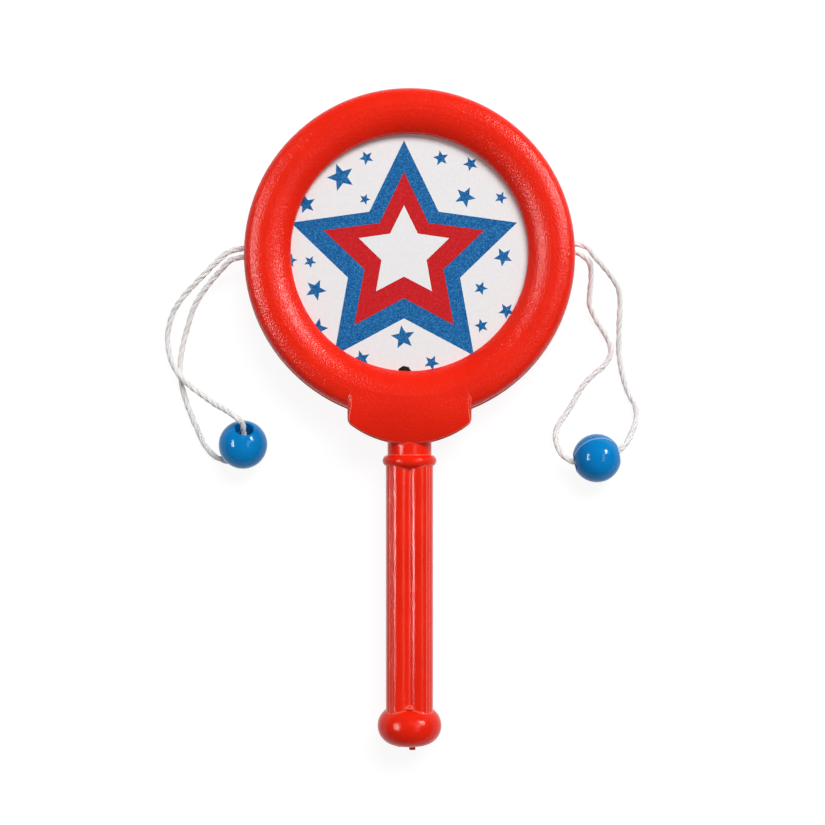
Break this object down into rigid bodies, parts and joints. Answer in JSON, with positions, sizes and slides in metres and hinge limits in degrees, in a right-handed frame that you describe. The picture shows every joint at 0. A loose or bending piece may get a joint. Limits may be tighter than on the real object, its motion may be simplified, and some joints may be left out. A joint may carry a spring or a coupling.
{
  "type": "pellet drum rattle",
  "caption": "Shallow two-headed toy drum on a fluted handle; beads on cord loops at its sides swing over the rim and strike the printed heads.",
  "frame": {"origin": "on the drum's axis, in the plane of the rear rim's flat crest, which the toy lies on", "axes": "+Z along the drum's axis and out of the front head, +Y away from the handle, +X to the right as seen from the front"},
  "size_m": [0.1201, 0.1649, 0.016],
  "materials": {
    "shell": "moulded, satin on the rim and glossy on the handle",
    "head": "printed sheet",
    "hoop": "plain strip, hidden",
    "cord": "twisted white cord",
    "bead": "moulded gloss"
  },
  "bodies": {
    "drum": {"front_shell": "shell", "rear_shell": "shell", "front_head": "head", "rear_head": "head", "spacer_hoop": "hoop", "left_knot": "cord", "right_knot": "cord"},
    "left_loop": {"left_cord": "cord"},
    "left_striker": {"left_bead": "bead"},
    "right_loop": {"right_cord": "cord"},
    "right_striker": {"right_bead": "bead"}
  },
  "joints": [
    {"name": "left_swing", "type": "hinge", "parent": "drum", "child": "left_loop", "pos_m": [-0.041, 0.0006, 0.008], "axis": [-0.5373, 0.8434, 0], "range_deg": [-154, 163], "deforming": ["left_cord"]},
    {"name": "left_spin", "type": "hinge", "parent": "left_loop", "child": "left_striker", "pos_m": [-0.0418, -0.0473, 0.0061], "axis": [0.129, 0.7319, 0.6691], "continuous": true},
    {"name": "right_swing", "type": "hinge", "parent": "drum", "child": "right_loop", "pos_m": [0.041, 0.0017, 0.008], "axis": [-0.6428, -0.766, 0], "range_deg": [-162, 168], "deforming": ["right_cord"]},
    {"name": "right_spin", "type": "hinge", "parent": "right_loop", "child": "right_striker", "pos_m": [0.047, -0.0507, 0.0061], "axis": [0.9799, 0.1994, 0], "continuous": true}
  ]
}
